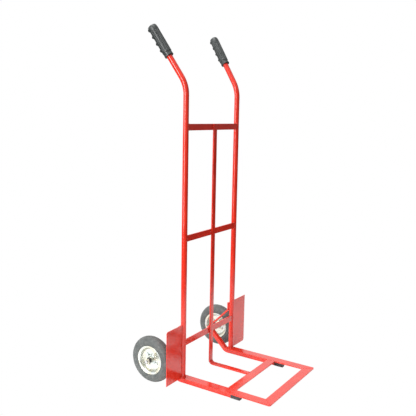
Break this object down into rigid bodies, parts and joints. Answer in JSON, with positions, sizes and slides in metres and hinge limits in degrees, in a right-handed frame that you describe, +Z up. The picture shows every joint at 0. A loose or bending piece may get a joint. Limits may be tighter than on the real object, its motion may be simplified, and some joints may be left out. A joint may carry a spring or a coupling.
{
  "type": "hand truck",
  "caption": "Two-wheeled hand truck: red welded tubular steel frame with bent-back grip handles, open flat-bar toe, centre strut and solid-rubber wheels on a straight axle.",
  "frame": {"origin": "on the floor under the centre of the truck's outline, midway between the two uprights", "axes": "+Z up along the uprights, -Y towards the toe, +Y towards the wheels and the handles' ends, X along the axle"},
  "size_m": [0.598, 0.602, 1.3955],
  "materials": {
    "red_paint": "glossy enamel",
    "grip_black": "satin moulded",
    "plug_black": "matte",
    "bare_steel": "drawn bar",
    "zinc": "bright zinc plate",
    "tyre_rubber": "matte rubber",
    "nylon_black": "satin moulded"
  },
  "bodies": {
    "frame": {"upper_crossbar": "red_paint", "middle_crossbar": "red_paint", "lower_crossbar": "red_paint", "centre_strut": "red_paint", "toe_front_bar": "red_paint", "toe_side_bar_left": "red_paint", "toe_side_bar_right": "red_paint", "toe_middle_bar": "red_paint", "upright_left": "red_paint", "side_rail_left": "red_paint", "axle_stay_left": "red_paint", "wheel_guard_left": "red_paint", "grip_left": "grip_black", "rail_plug_left": "plug_black", "upright_right": "red_paint", "side_rail_right": "red_paint", "axle_stay_right": "red_paint", "wheel_guard_right": "red_paint", "grip_right": "grip_black", "rail_plug_right": "plug_black", "axle": "bare_steel", "axle_spacers": "zinc", "axle_washers": "zinc", "split_pins": "zinc"},
    "wheel_left": {"tyre_left": "tyre_rubber", "rim_outer_left": "zinc", "rim_inner_left": "zinc", "hub_left": "zinc", "bushes_left": "nylon_black", "rim_bolts_left": "zinc", "rim_nuts_left": "zinc"},
    "wheel_right": {"tyre_right": "tyre_rubber", "rim_outer_right": "zinc", "rim_inner_right": "zinc", "hub_right": "zinc", "bushes_right": "nylon_black", "rim_bolts_right": "zinc", "rim_nuts_right": "zinc"}
  },
  "joints": [
    {"name": "wheel_left_spin", "type": "hinge", "parent": "frame", "child": "wheel_left", "pos_m": [-0.246, 0.207, 0.094], "axis": [1, 0, 0], "continuous": true},
    {"name": "wheel_right_spin", "type": "hinge", "parent": "frame", "child": "wheel_right", "pos_m": [0.246, 0.207, 0.094], "axis": [1, 0, 0], "continuous": true}
  ]
}
